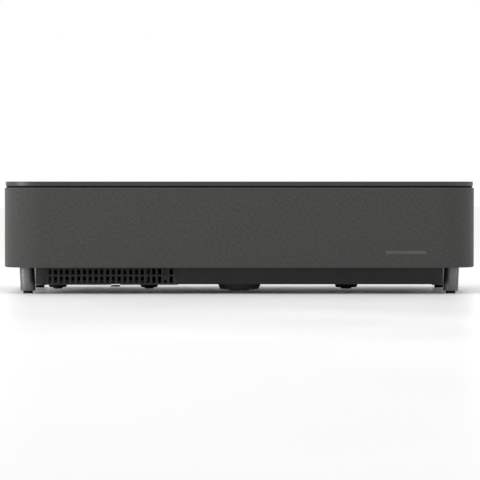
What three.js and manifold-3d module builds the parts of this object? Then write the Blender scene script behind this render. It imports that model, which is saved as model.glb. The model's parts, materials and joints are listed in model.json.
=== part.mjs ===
// An ultra short throw home projector with a sound bar front: a cloth covered loudspeaker grille wraps the
// front and the fore half of both sides, a flat cover closes the top round the projection well, and a
// narrower base tray stands on four screw-in legs. Millimetres, +Z up, the cloth front faces -Y. The origin
// is the centre of the object's outline, on the table.
import * as THREE from "three";
import { mergeVertices } from "three/addons/utils/BufferGeometryUtils.js";
import Module from "manifold-3d";

const wasm = await Module();
wasm.setup();

// Overall sizes.
const WIDTH = 695;
const DEPTH = 341;
const HEIGHT = 165;
const CORNER_FRONT = 58;
const CORNER_REAR = 30;
const GAP = 0.3; // between parts that touch
const SIDE = WIDTH / 2;
const FRONT = -DEPTH / 2;
const REAR = DEPTH / 2;

// Height stack, counted from the table.
const BASE_BOTTOM = 14;
const CLOTH_BOTTOM = 38.7;
const COVER_THICK = 6.6;
const SHADOW_GAP = 2.4;
const COVER_BOTTOM = HEIGHT - COVER_THICK;
const CLOTH_TOP = COVER_BOTTOM - SHADOW_GAP;

// Shells.
const WALL = 2.8;
const CLOTH = 1.2;
const GRILLE = 3;
const COVER_INSET = 1.5;
const NECK_INSET = 6;
const NECK_WIDTH = 6;
const SPLIT_Y = FRONT + 165; // where the cloth ends on each side
const FRAME_INSET = CLOTH + GAP;
const CASE_INSET = FRAME_INSET + GRILLE + GAP; // the case's wall behind the grille frame
const CASE_BOTTOM = CLOTH_BOTTOM + 0.6;

// A plain badge on the cloth: centre, size, and how far it stands out.
const BADGE = { x: SIDE - 104, z: CLOTH_BOTTOM + 22.6, w: 60, h: 5, proud: 0.3 };

// Base tray.
const BASE_SIDE = SIDE - 47.5;
const BASE_SETBACK = 20;
const BASE_FRONT = FRONT + BASE_SETBACK;
const BASE_REAR = REAR - BASE_SETBACK;
const BASE_CORNER = 12;
const BASE_WALL = 2.5;
const BASE_FLOOR = BASE_BOTTOM + BASE_WALL;
const BASE_LIP = 6;
const PILLAR = 6;
const CASE_FLOOR = CASE_BOTTOM + WALL;
const BASE_TOP = CASE_FLOOR + GAP + WALL;

// Legs with levelling feet.
const LEG_RADIUS = 11;
const LEG_LEAN = 2.1; // how far the foot of a leg leans in towards the base
const LEG_X = BASE_SIDE + LEG_RADIUS + 1.7; // at the foot
const LEG_Y = DEPTH / 2 - 50;
const LEG_BOTTOM = 3.6;
const PAD_RADIUS = 7.2;
const PAD_HEIGHT = 3.3;
const STUD_RADIUS = 4;
const STUD_LENGTH = 26;
const SPIGOT_RADIUS = 4;

// Low feet under the base, from the front left one on: place, radius at the base and at the tip, pad radius.
const LOW_FEET = [
  { name: "low_foot_left", x: -272, y: FRONT + 100, top: 15, tip: 12.5, drop: 6.7, pad: 7, padDrop: 2 },
  { name: "low_foot_inner", x: -135, y: FRONT + 100, top: 14.5, tip: 12, drop: 6.7, pad: 7, padDrop: 2 },
  { name: "low_foot_centre", x: 0, y: FRONT + 60, top: 32, tip: 28.5, drop: 8.1, pad: 15, padDrop: 1.8 },
  { name: "low_foot_right", x: 160, y: FRONT + 100, top: 18, tip: 15.5, drop: 6.7, pad: 8, padDrop: 2 },
];

// Filter drawer in the front of the base.
const DRAWER_LEFT = -BASE_SIDE + 15;
const DRAWER_WIDTH = 194.6;
const DRAWER_RIGHT = DRAWER_LEFT + DRAWER_WIDTH;
const DRAWER_BOTTOM = BASE_BOTTOM - 0.8;
const DRAWER_TOP = CLOTH_BOTTOM - 0.5; // passes under the cloth
const DRAWER_THICK = 3;
const SLOT_PITCH = 8.5;
const SLOT_COLUMNS = 1 + Math.floor((DRAWER_WIDTH - 11) / SLOT_PITCH);
const SLOT_WIDTH = 4.8;
const SLOT_ROWS = [
  [BASE_BOTTOM + 1.9, 25.6],
  [28.2, DRAWER_TOP - 1.2],
];
const FILTER_DEPTH = 35;
const FILTER_WALL = 2;
const FILTER_RIGHT = DRAWER_RIGHT - 44; // the rest of the bay is for the focus lever
const PLEATS = 18;
const LATCH_X = DRAWER_LEFT + 103;
const LATCH_WIDTH = 13.2;
const LATCH_THICK = 1.3;
const LATCH_TRAVEL = 1;

// Projection well and window, measured from the rear wall.
const WELL_SIDE = 150;
const WELL_REAR = REAR - 20;
const WELL_FRONT = WELL_REAR - 146;
const WELL_WALL = 2.5;
const WINDOW_SIDE = 95;
const WINDOW_FRONT = WELL_FRONT + 26;
const WINDOW_REAR = WELL_REAR - 28;
const WINDOW_FRONT_Z = HEIGHT - 39;
const WINDOW_REAR_Z = HEIGHT - 27;
const WINDOW_THICK = 3;

// Optical engine: the lens looks forward, at a concave mirror that throws the picture back and up.
const AXIS_Z = 80;
const ENGINE_FRONT = REAR - 61.5;
const ENGINE_REAR = REAR - 8.5;
const ENGINE_LEFT = -62;
const ENGINE_RIGHT = 122;
const ENGINE_BOTTOM = 56;
const ENGINE_TOP = 104;
const ENGINE_WALL = 3;
const LENS_FRONT = ENGINE_FRONT - 118;
const LENS_OUTER = 32;
const LENS_INNER = 28;
const CELL_LENGTH = 22;
const RING_Y = LENS_FRONT + 28;
const RING_WIDTH = 14;
const RING_WALL = 6.2;
const RING_OUTER = LENS_OUTER + GAP + RING_WALL;
const RING_ARM = RING_OUTER + 11;
const PRISM = 26;
const PRISM_Y = ENGINE_FRONT + 20;
const PANEL = 28;
const PANEL_THICK = 3.5;
const PANEL_OFFSET = 20;
const WHEEL_X = ENGINE_RIGHT - 22;
const WHEEL_Y = (ENGINE_FRONT + ENGINE_REAR) / 2;
const WHEEL_RADIUS = 20;
const MIRROR_FRONT = LENS_FRONT - 52;
const MIRROR_REAR = LENS_FRONT - 14;
const MIRROR_SIDE = 90;
const MIRROR_BOTTOM = 60;
const MIRROR_TOP = 145;
const LASER_RIGHT = ENGINE_RIGHT + 90;
const LASER_FRONT = REAR - 92;
const LASER_BOTTOM = 50;
const LASER_TOP = 112;

// Cooling.
const FAN_SIZE = 70;
const FAN_THICK = 25;
const FAN_BORE = 32.5;
const FAN_HUB = 15;
const FAN_Z = 95;
const FAN_X = SIDE - WALL - GAP - FAN_THICK / 2;
const FAN_YS = [REAR - CORNER_REAR - FAN_SIZE / 2 - 1, REAR - CORNER_REAR - FAN_SIZE * 1.5 - 2];
const SINK_LEFT = LASER_RIGHT + 3;
const SINK_RIGHT = FAN_X - FAN_THICK / 2 - 4;
const SINK_BOTTOM = 56;
const FINS = 15;
const FIN_PITCH = 5.2;
const FIN_THICK = 1.2;
const BLOWER_X = -160;
const BLOWER_Y = FRONT + 155;
const BLOWER_Z = 49;
const BLOWER_RADIUS = 38;
const BLOWER_HEIGHT = 30;

// Loudspeakers.
const BOX_OUT = SIDE - 49.5;
const BOX_WIDTH = 96;
const BOX_FRONT = FRONT + CASE_INSET + WALL + 2.5;
const BOX_DEPTH = 86;
const BOX_BOTTOM = BASE_TOP + GAP; // the boxes stand on the base tray's lip
const BOX_TOP = 148;
const BOX_WALL = 4;
const WOOFER_X = BOX_OUT - BOX_WIDTH / 2;
const WOOFER_Z = (BOX_BOTTOM + BOX_TOP) / 2;
const WOOFER_RADIUS = 38;

// Rear terminals.
const TRAY_LEFT = -SIDE + 50;
const TRAY_RIGHT = TRAY_LEFT + 176;
const TRAY_BOTTOM = 54;
const TRAY_TOP = 110;
const TRAY_DEPTH = 13;
const TRAY_FACE_Y = REAR - WALL - TRAY_DEPTH;
const SOCKET_DEPTH = 11;
// Each socket: centre along the tray from its left end, centre height, width, height.
const SOCKETS = [
  { x: 54, z: 66, w: 8.6, h: 8.6 },
  { x: 74, z: 66, w: 13.4, h: 6 },
  { x: 94, z: 66, w: 13.4, h: 6 },
  { x: 120, z: 66, w: 14.2, h: 5 },
  { x: 146, z: 66, w: 14.2, h: 5 },
];
const INLET_X = TRAY_LEFT + 24;
const INLET_Z = 73;
const INLET_WIDTH = 27.4;
const INLET_HEIGHT = 20;
const INLET_DEPTH = 16;

const BUTTON_X = SIDE - 42;
const BUTTON_Y = REAR - 44;
const BUTTON_RADIUS = 6.5;

// Circuit boards.
const BOARD_THICK = 1.6;
const mainBoard = { x: [TRAY_LEFT + 4, TRAY_LEFT + 160], y: [REAR - 120, REAR - 30], z: 57 };
const powerBoard = { x: [-178, 178], y: [FRONT + 14, FRONT + 88], z: 52 };

// ---------------------------------------------------------------- geometry helpers

// A closed geometry as a manifold-3d solid.
function solid(geometry) {
  const flat = geometry.index ? geometry.toNonIndexed() : geometry;
  const bare = new THREE.BufferGeometry().setAttribute("position", flat.getAttribute("position"));
  const merged = mergeVertices(bare, 1e-4);
  const vertProperties = new Float32Array(merged.attributes.position.array);
  const triVerts = new Uint32Array(merged.index.array);
  return new wasm.Manifold(new wasm.Mesh({ numProp: 3, vertProperties, triVerts }));
}

// A manifold-3d solid as a flat shaded geometry.
function geometryOf(made) {
  const mesh = made.getMesh();
  const geometry = new THREE.BufferGeometry();
  geometry.setAttribute("position", new THREE.BufferAttribute(new Float32Array(mesh.vertProperties), 3));
  geometry.setIndex(new THREE.BufferAttribute(new Uint32Array(mesh.triVerts), 1));
  const flat = geometry.toNonIndexed();
  flat.computeVertexNormals();
  return flat;
}

function cut(body, ...tools) {
  return geometryOf(tools.reduce((left, tool) => left.subtract(solid(tool)), solid(body)));
}

function join(...pieces) {
  return geometryOf(pieces.map(solid).reduce((all, piece) => all.add(piece)));
}

function common(a, b) {
  return geometryOf(solid(a).intersect(solid(b)));
}

// A block between two limits on each axis.
function block([x0, x1], [y0, y1], [z0, z1]) {
  const box = new THREE.BoxGeometry(x1 - x0, y1 - y0, z1 - z0);
  return box.translate((x0 + x1) / 2, (y0 + y1) / 2, (z0 + z1) / 2);
}

// A cylinder along an axis, "x", "y" or "z", centred at a point.
function rod(radius, length, axis, [x, y, z], segments = 24, endRadius = radius) {
  const made = new THREE.CylinderGeometry(endRadius, radius, length, segments);
  if (axis === "z") made.rotateX(Math.PI / 2);
  if (axis === "x") made.rotateZ(-Math.PI / 2);
  return made.translate(x, y, z);
}

// A turned piece: [radius, height] points from the axis back to the axis, turned about Z.
function turned(points, [x, y, z], segments = 22) {
  const profile = points.map(([r, h]) => new THREE.Vector2(r, h));
  return new THREE.LatheGeometry(profile, segments).rotateX(Math.PI / 2).translate(x, y, z);
}

// A rectangle with rounded corners, one radius at the front and one at the rear.
function roundedRect([x0, x1], [y0, y1], front, rear = front) {
  const shape = new THREE.Shape();
  shape.moveTo(x0 + front, y0);
  shape.absarc(x1 - front, y0 + front, front, -Math.PI / 2, 0);
  shape.absarc(x1 - rear, y1 - rear, rear, 0, Math.PI / 2);
  shape.absarc(x0 + rear, y1 - rear, rear, Math.PI / 2, Math.PI);
  shape.absarc(x0 + front, y0 + front, front, Math.PI, Math.PI * 1.5);
  return shape;
}

// A flat outline given a thickness from z0 to z1.
function slab(shape, [z0, z1], curveSegments = 5) {
  const made = new THREE.ExtrudeGeometry(shape, { depth: z1 - z0, bevelEnabled: false, curveSegments });
  return made.translate(0, 0, z0);
}

// The object's outline, drawn in by an inset.
function outline(inset) {
  return roundedRect(
    [-SIDE + inset, SIDE - inset],
    [FRONT + inset, REAR - inset],
    CORNER_FRONT - inset,
    CORNER_REAR - inset,
  );
}

// The base tray's outline, grown by a margin.
function baseOutline(margin) {
  return roundedRect(
    [-BASE_SIDE - margin, BASE_SIDE + margin],
    [BASE_FRONT - margin, BASE_REAR + margin],
    BASE_CORNER + margin,
  );
}

// A closed wall that follows the object's outline between two insets.
function ring(outer, inner, [z0, z1]) {
  return cut(slab(outline(outer), [z0, z1]), slab(outline(inner), [z0 - 1, z1 + 1]));
}

// The part of a piece in front of the split between cloth and case, or behind it.
function foreOf(piece, y = SPLIT_Y) {
  return cut(piece, block([-WIDTH, WIDTH], [y, DEPTH], [-1, HEIGHT * 2]));
}

function aftOf(piece, y = SPLIT_Y) {
  return cut(piece, block([-WIDTH, WIDTH], [-DEPTH, y], [-1, HEIGHT * 2]));
}

// A block whose top and bottom are different rectangles, each with its own front and rear height.
function hopper(top, bottom) {
  const made = new THREE.BoxGeometry(2, 2, 2);
  const place = made.getAttribute("position");
  for (let i = 0; i < place.count; i += 1) {
    const level = place.getZ(i) > 0 ? top : bottom;
    const rear = place.getY(i) > 0;
    place.setXYZ(
      i,
      place.getX(i) * level.side,
      rear ? level.rear : level.front,
      rear ? level.rearZ : level.frontZ,
    );
  }
  return made;
}

// ---------------------------------------------------------------- the model

const model = new THREE.Group();

function finish(color, roughness, metalness = 0, extra = {}) {
  return new THREE.MeshStandardMaterial({ color, roughness, metalness, ...extra });
}

const materials = {
  cloth: finish(0x474745, 0.95),
  cover: finish(0x424242, 0.55),
  case: finish(0x2c2c2c, 0.6),
  base: finish(0x2a2a2a, 0.6),
  black: finish(0x0c0c0c, 0.5),
  rubber: finish(0x101010, 0.9),
  legMetal: finish(0x6a6a6a, 0.3, 0.9),
  aluminium: finish(0xb8babc, 0.35, 0.9),
  steel: finish(0x9a9a9a, 0.35, 0.9),
  glass: finish(0x1a2228, 0.05, 0, { transparent: true, opacity: 0.4 }),
  mirror: finish(0xe8ecf0, 0.03, 1),
  board: finish(0x14502c, 0.6),
  filter: finish(0xd8dad4, 0.95),
  cone: finish(0x1c1c1e, 0.8),
};

function add(name, geometry, material) {
  const mesh = new THREE.Mesh(geometry, material);
  mesh.name = name;
  model.add(mesh);
}

// The slab that closes the top, with the openings for the well and the power button.
function topCover() {
  const well = roundedRect([-WELL_SIDE, WELL_SIDE], [WELL_FRONT, WELL_REAR], 12);
  const hole = [COVER_BOTTOM - 1, HEIGHT + 1];
  return cut(
    slab(outline(COVER_INSET), [COVER_BOTTOM, HEIGHT], 8),
    slab(well, hole),
    rod(BUTTON_RADIUS + GAP, COVER_THICK * 3, "z", [BUTTON_X, BUTTON_Y, COVER_BOTTOM]),
  );
}

// The sunken funnel between the top cover and the window, with a seat for the window's edge.
function windowWell() {
  const seat = WINDOW_THICK + 2;
  const mouth = { side: WELL_SIDE - 4, front: WELL_FRONT + 4, rear: WELL_REAR - 4 };
  const pane = { side: WINDOW_SIDE + GAP, front: WINDOW_FRONT - GAP, rear: WINDOW_REAR + GAP };
  const level = (edge, grow, frontZ, rearZ) => ({
    side: edge.side + grow,
    front: edge.front - grow,
    rear: edge.rear + grow,
    frontZ,
    rearZ,
  });
  const rim = roundedRect(
    [-WELL_SIDE + GAP, WELL_SIDE - GAP],
    [WELL_FRONT + GAP, WELL_REAR - GAP],
    12 - GAP,
  );
  const flange = roundedRect([-WELL_SIDE - 5, WELL_SIDE + 5], [WELL_FRONT - 5, WELL_REAR + 5], 14);
  const shell = join(
    slab(rim, [COVER_BOTTOM - 2, HEIGHT - 0.4]),
    slab(flange, [COVER_BOTTOM - 2.4, COVER_BOTTOM - GAP]),
    hopper(
      level(mouth, WELL_WALL, COVER_BOTTOM - 1, COVER_BOTTOM - 1),
      level(pane, WELL_WALL, WINDOW_FRONT_Z, WINDOW_REAR_Z),
    ),
    hopper(
      level(pane, WELL_WALL, WINDOW_FRONT_Z + 0.01, WINDOW_REAR_Z + 0.01),
      level(pane, WELL_WALL, WINDOW_FRONT_Z - seat, WINDOW_REAR_Z - seat),
    ),
  );
  return cut(
    shell,
    hopper(
      level(mouth, 1.5, HEIGHT + 1, HEIGHT + 1),
      level(mouth, 0, COVER_BOTTOM - 1, COVER_BOTTOM - 1),
    ),
    hopper(
      level(mouth, 0, COVER_BOTTOM - 0.99, COVER_BOTTOM - 0.99),
      level(pane, -1.5, WINDOW_FRONT_Z, WINDOW_REAR_Z),
    ),
    hopper(
      level(pane, -1.5, WINDOW_FRONT_Z + 0.01, WINDOW_REAR_Z + 0.01),
      level(pane, -1.5, WINDOW_FRONT_Z - 1, WINDOW_REAR_Z - 1),
    ),
    hopper(
      level(pane, 0, WINDOW_FRONT_Z - 1, WINDOW_REAR_Z - 1),
      level(pane, 0, WINDOW_FRONT_Z - seat - 1, WINDOW_REAR_Z - seat - 1),
    ),
  );
}

function windowGlass() {
  const edge = { side: WINDOW_SIDE, front: WINDOW_FRONT, rear: WINDOW_REAR };
  const down = 1 + GAP;
  return hopper(
    { ...edge, frontZ: WINDOW_FRONT_Z - down, rearZ: WINDOW_REAR_Z - down },
    { ...edge, frontZ: WINDOW_FRONT_Z - down - WINDOW_THICK, rearZ: WINDOW_REAR_Z - down - WINDOW_THICK },
  );
}

const sideGrille = {
  y0: FAN_YS[1] - FAN_SIZE / 2 + 4,
  y1: FAN_YS[0] + FAN_SIZE / 2 - 1,
  z0: 58,
  z1: 132,
};

// The main case: outer walls behind the split, inner walls behind the grille, a floor flange and a neck.
function upperCase() {
  const full = [CASE_BOTTOM, CLOTH_TOP - GAP];
  const web = cut(
    slab(outline(0), full),
    slab(outline(CASE_INSET + WALL), [0, HEIGHT]),
    block([-WIDTH, WIDTH], [-DEPTH, SPLIT_Y + GAP], [0, HEIGHT]),
    block([-WIDTH, WIDTH], [SPLIT_Y + GAP + WALL, DEPTH], [0, HEIGHT]),
  );
  const floorSlab = join(
    foreOf(slab(outline(CASE_INSET), [CASE_BOTTOM, CASE_FLOOR]), SPLIT_Y + 1),
    aftOf(slab(outline(0), [CASE_BOTTOM, CASE_FLOOR]), SPLIT_Y + GAP),
  );
  const floor = cut(floorSlab, slab(baseOutline(GAP), [0, HEIGHT]));
  const walls = join(
    foreOf(ring(CASE_INSET, CASE_INSET + WALL, full), SPLIT_Y + 1),
    aftOf(ring(0, WALL, full), SPLIT_Y + GAP),
    web,
    floor,
    ring(CASE_INSET, NECK_INSET + NECK_WIDTH, [CLOTH_TOP - GAP - WALL, CLOTH_TOP - GAP]),
    aftOf(ring(0.5, NECK_INSET + NECK_WIDTH, [CLOTH_TOP - GAP - WALL, CLOTH_TOP - GAP]), SPLIT_Y + 2),
    ring(NECK_INSET, NECK_INSET + NECK_WIDTH, [CLOTH_TOP - GAP - 1, COVER_BOTTOM - GAP]),
  );
  const speakerHole = (x) =>
    block([x - 44, x + 44], [FRONT, FRONT + CASE_INSET + WALL + 1], [WOOFER_Z - 44, WOOFER_Z + 44]);
  const ventHole = (x) =>
    block([x - 20, x + 20], [sideGrille.y0, sideGrille.y1], [sideGrille.z0, sideGrille.z1]);
  const legHoles = legPlaces().map(({ sx, y }) =>
    rod(SPIGOT_RADIUS + GAP, 40, "z", [sx * (LEG_X + LEG_LEAN), y, CASE_BOTTOM], 16),
  );
  const trayHole = block([TRAY_LEFT, TRAY_RIGHT], [REAR - WALL - 1, REAR + 1], [TRAY_BOTTOM, TRAY_TOP]);
  return cut(
    walls,
    speakerHole(WOOFER_X),
    speakerHole(-WOOFER_X),
    ventHole(SIDE),
    ventHole(-SIDE),
    trayHole,
    ...legHoles,
  );
}

// A flat louvred panel that fills the vent hole in one side wall.
function sideVent(sx) {
  const { y0, y1, z0, z1 } = sideGrille;
  const rows = 9;
  const bays = 3;
  const margin = 6;
  const pitch = (z1 - z0 - 2 * margin) / rows;
  const bay = (y1 - y0 - 2 * margin) / bays;
  const slots = [];
  for (let row = 0; row < rows; row += 1) {
    for (let column = 0; column < bays; column += 1) {
      const y = y0 + margin + bay * column + 2;
      const z = z0 + margin + pitch * row + 1.6;
      slots.push(block([SIDE - 10, SIDE + 10], [y, y + bay - 4], [z, z + pitch - 3.2]));
    }
  }
  const panel = block([SIDE - WALL, SIDE - 0.4], [y0 + GAP, y1 - GAP], [z0 + GAP, z1 - GAP]);
  return sx > 0 ? cut(panel, ...slots) : mirrored(cut(panel, ...slots));
}

// The same piece on the other side of the object.
function mirrored(geometry) {
  return geometryOf(solid(geometry).mirror([1, 0, 0]));
}

// The moulded carrier that the cloth is stretched over, open in front of each loudspeaker.
function grilleFrame() {
  const wrap = foreOf(
    ring(FRAME_INSET, FRAME_INSET + GRILLE, [CLOTH_BOTTOM + 1.3, CLOTH_TOP - 1.3]),
    SPLIT_Y - 1.5,
  );
  const slots = [];
  const columns = 7;
  for (const side of [-1, 1]) {
    for (let i = 0; i < columns; i += 1) {
      const x = side * WOOFER_X + (i - (columns - 1) / 2) * 11.5;
      slots.push(block([x - 3.6, x + 3.6], [FRONT - 1, FRONT + 20], [WOOFER_Z - 38, WOOFER_Z + 38]));
    }
  }
  return cut(wrap, ...slots);
}

function grilleCloth() {
  return cut(foreOf(ring(0, CLOTH, [CLOTH_BOTTOM, CLOTH_TOP])), badge(GAP));
}

// Square pillars that carry what is inside: the places of each set, and the height of what it carries.
function pillars() {
  const rearRow = BASE_REAR - BASE_WALL - 8;
  const boxRear = BOX_FRONT + BOX_DEPTH - 8;
  const boardRear = powerBoard.y[1] - 6;
  const mirrorMiddle = (MIRROR_FRONT + MIRROR_REAR) / 2;
  const sinkFront = FAN_YS[1] - FAN_SIZE / 2 + 10;
  const sets = [
    [BOX_BOTTOM, [WOOFER_X - 36, boxRear], [WOOFER_X + 36, boxRear]],
    [BOX_BOTTOM, [36 - WOOFER_X, boxRear], [-36 - WOOFER_X, boxRear]],
    [powerBoard.z, [powerBoard.x[0] + 6, boardRear], [powerBoard.x[1] - 6, boardRear]],
    [powerBoard.z, [-80, powerBoard.y[0] + 12], [powerBoard.x[1] - 6, powerBoard.y[0] + 12]],
    [MIRROR_BOTTOM, [-80, mirrorMiddle], [80, mirrorMiddle]],
    [BLOWER_Z, [BLOWER_X - 30, BLOWER_Y], [BLOWER_X + 30, BLOWER_Y]],
    [mainBoard.z, [mainBoard.x[0] + 6, mainBoard.y[0] + 6], [mainBoard.x[1] - 6, mainBoard.y[0] + 6]],
    [mainBoard.z, [mainBoard.x[0] + 6, mainBoard.y[1] - 6], [mainBoard.x[1] - 6, mainBoard.y[1] - 6]],
    [ENGINE_BOTTOM, [ENGINE_LEFT + 8, ENGINE_FRONT + 8], [ENGINE_RIGHT - 8, ENGINE_FRONT + 8]],
    [ENGINE_BOTTOM, [ENGINE_LEFT + 8, rearRow], [ENGINE_RIGHT - 8, rearRow]],
    [LASER_BOTTOM, [LASER_RIGHT - 10, LASER_FRONT + 8], [LASER_RIGHT - 10, rearRow]],
    [SINK_BOTTOM, [SINK_LEFT + 8, sinkFront], [BASE_SIDE - 10, sinkFront]],
    [SINK_BOTTOM, [SINK_LEFT + 8, rearRow], [BASE_SIDE - 10, rearRow]],
  ];
  const half = PILLAR / 2;
  return sets.flatMap(([top, ...places]) =>
    places.map(([x, y]) => block([x - half, x + half], [y - half, y + half], [BASE_FLOOR - 1, top - GAP])),
  );
}

// The base tray with its low feet, the drawer opening and the lip that hangs it in the case.
function lowerCase() {
  const tray = cut(
    join(
      slab(baseOutline(0), [BASE_BOTTOM, BASE_TOP]),
      slab(baseOutline(BASE_LIP), [CASE_FLOOR + GAP, BASE_TOP]),
    ),
    slab(baseOutline(-BASE_WALL), [BASE_FLOOR, HEIGHT]),
  );
  const stubs = LOW_FEET.map(({ x, y, top, tip, drop }) =>
    turned(
      [
        [0, -drop],
        [tip, -drop],
        [top, -0.8],
        [top, 1],
        [0, 1],
      ],
      [x, y, BASE_BOTTOM],
    ),
  );
  const drawer = block(
    [DRAWER_LEFT - GAP, DRAWER_RIGHT + GAP],
    [BASE_FRONT - 1, BASE_FRONT + DRAWER_THICK + GAP],
    [0, DRAWER_TOP + GAP],
  );
  const latch = block(
    [LATCH_X - LATCH_WIDTH / 2 - 0.6, LATCH_X + LATCH_WIDTH / 2 + 0.6],
    [BASE_FRONT - 1, BASE_FRONT + 10.5],
    [0, BASE_FLOOR + 1],
  );
  return cut(join(tray, ...stubs, ...pillars()), drawer, latch);
}

function lowFootPad({ x, y, drop, pad, padDrop }) {
  const top = BASE_BOTTOM - drop - GAP;
  return turned(
    [
      [0, -padDrop],
      [pad - 0.5, -padDrop],
      [pad, -padDrop + 0.5],
      [pad, 0],
      [0, 0],
    ],
    [x, y, top],
    24,
  );
}

// The air filter's slotted door.
function filterCover() {
  const panel = block(
    [DRAWER_LEFT, DRAWER_RIGHT],
    [BASE_FRONT, BASE_FRONT + DRAWER_THICK],
    [DRAWER_BOTTOM, DRAWER_TOP],
  );
  const slots = [];
  const first = DRAWER_LEFT + (DRAWER_WIDTH - SLOT_PITCH * (SLOT_COLUMNS - 1)) / 2 - 1.6;
  for (let column = 0; column < SLOT_COLUMNS; column += 1) {
    const x = first + SLOT_PITCH * column;
    for (const row of SLOT_ROWS) {
      slots.push(block([x - SLOT_WIDTH / 2, x + SLOT_WIDTH / 2], [BASE_FRONT - 1, BASE_FRONT + 9], row));
    }
  }
  const notch = block(
    [LATCH_X - LATCH_WIDTH / 2 - GAP, LATCH_X + LATCH_WIDTH / 2 + GAP],
    [BASE_FRONT - 1, BASE_FRONT + 9],
    [0, DRAWER_BOTTOM + LATCH_TRAVEL],
  );
  return cut(panel, ...slots, notch);
}

const filterBox = {
  x: [DRAWER_LEFT + 4, FILTER_RIGHT],
  y: [BASE_FRONT + DRAWER_THICK + GAP, BASE_FRONT + DRAWER_THICK + GAP + FILTER_DEPTH],
  z: [BASE_FLOOR + 0.8, DRAWER_TOP - 1.2],
};

function shrink([low, high], by) {
  return [low + by, high - by];
}

function filterFrame() {
  const { x, y, z } = filterBox;
  return cut(block(x, y, z), block(shrink(x, FILTER_WALL), shrink(y, -1), shrink(z, FILTER_WALL)));
}

// One pleated sheet, folded front to back along the filter.
function filterMedia() {
  const [x0, x1] = shrink(filterBox.x, FILTER_WALL + GAP);
  const [y0, y1] = shrink(filterBox.y, 2);
  const [z0, z1] = shrink(filterBox.z, FILTER_WALL + GAP);
  const thick = 1.6;
  const pitch = (x1 - x0) / PLEATS;
  const near = [];
  const far = [];
  for (let fold = 0; fold <= PLEATS; fold += 1) {
    const back = fold % 2 === 1;
    near.push([x0 + pitch * fold, back ? y1 - thick * 2 : y0]);
    far.unshift([x0 + pitch * fold, back ? y1 : y0 + thick * 2]);
  }
  const shape = new THREE.Shape([...near, ...far].map(([x, y]) => new THREE.Vector2(x, y)));
  return slab(shape, [z0, z1]);
}

// The spring tab that a finger lifts to free the door.
function filterLatch() {
  const across = [LATCH_X - LATCH_WIDTH / 2, LATCH_X + LATCH_WIDTH / 2];
  const top = DRAWER_BOTTOM - GAP;
  return join(
    block(across, [BASE_FRONT + 0.2, BASE_FRONT + 10], [top - LATCH_THICK, top]),
    block(across, [BASE_FRONT + 0.2, BASE_FRONT + 2.2], [top - LATCH_THICK - 0.9, top]),
  );
}

// The four leg places: the sign of x and the y of each.
function legPlaces() {
  return [
    { name: "front_left", sx: -1, y: -LEG_Y },
    { name: "front_right", sx: 1, y: -LEG_Y },
    { name: "rear_left", sx: -1, y: LEG_Y },
    { name: "rear_right", sx: 1, y: LEG_Y },
  ];
}

const LEG_TOP = CASE_BOTTOM - GAP;

// A turned leg that leans in by a shear, with a spigot into the case floor and a bore for its stud.
function leg(sx, y) {
  const height = LEG_TOP - LEG_BOTTOM;
  const body = turned(
    [
      [0, 0],
      [8.4, 0],
      [10.2, 1],
      [LEG_RADIUS, 3],
      [LEG_RADIUS - 0.3, height],
      [SPIGOT_RADIUS, height],
      [SPIGOT_RADIUS, height + 5],
      [0, height + 5],
    ],
    [0, 0, 0],
    32,
  );
  const lean = new THREE.Matrix4().makeShear(0, 0, 0, 0, (sx * LEG_LEAN) / height, 0);
  body.applyMatrix4(lean).translate(sx * LEG_X, y, LEG_BOTTOM);
  const middle = [sx * LEG_X, y, LEG_BOTTOM + STUD_LENGTH / 2];
  const bore = rod(STUD_RADIUS + GAP, STUD_LENGTH + 2, "z", middle, 20);
  return cut(body, bore);
}

// The rubber foot, with a socket for the stud's pivot.
function legPad(sx, y) {
  return turned(
    [
      [0, 0],
      [PAD_RADIUS - 1, 0],
      [PAD_RADIUS, 0.8],
      [PAD_RADIUS, PAD_HEIGHT],
      [3.1, PAD_HEIGHT],
      [3.1, 1.2],
      [0, 1.2],
    ],
    [sx * LEG_X, y, 0],
  );
}

function legStud(sx, y) {
  return turned(
    [
      [0, 1.5],
      [2.8, 1.5],
      [2.8, PAD_HEIGHT + GAP],
      [STUD_RADIUS, PAD_HEIGHT + GAP],
      [STUD_RADIUS, STUD_LENGTH],
      [STUD_RADIUS - 1, STUD_LENGTH + 1],
      [0, STUD_LENGTH + 1],
    ],
    [sx * LEG_X, y, 0],
    20,
  );
}

// The optical engine's open-topped housing.
function opticsCase() {
  const outer = block([ENGINE_LEFT, ENGINE_RIGHT], [ENGINE_FRONT, ENGINE_REAR], [ENGINE_BOTTOM, ENGINE_TOP]);
  const inner = block(
    [ENGINE_LEFT + ENGINE_WALL, ENGINE_RIGHT - ENGINE_WALL],
    [ENGINE_FRONT + ENGINE_WALL, ENGINE_REAR - ENGINE_WALL],
    [ENGINE_BOTTOM + ENGINE_WALL, ENGINE_TOP + 1],
  );
  const lensHole = rod(22, 10, "y", [0, ENGINE_FRONT, AXIS_Z], 28);
  const laserHole = rod(12, 10, "x", [ENGINE_RIGHT, PRISM_Y, AXIS_Z], 20);
  return cut(outer, inner, lensHole, laserHole);
}

function cube(size, [x, y, z]) {
  return new THREE.BoxGeometry(size, size, size).translate(x, y, z);
}

// A light valve with its frame's window sunk into both faces, thin along one axis.
function lcdPanel(axis, offset) {
  const size = axis === "x" ? [PANEL_THICK, PANEL, PANEL] : [PANEL, PANEL_THICK, PANEL];
  const glass = axis === "x" ? [PANEL_THICK * 2, 16, 12] : [16, PANEL_THICK * 2, 12];
  const centre = axis === "x" ? [offset, PRISM_Y, AXIS_Z] : [0, PRISM_Y + offset, AXIS_Z];
  const frame = new THREE.BoxGeometry(...size).translate(...centre);
  return cut(frame, new THREE.BoxGeometry(...glass).translate(...centre));
}

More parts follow.
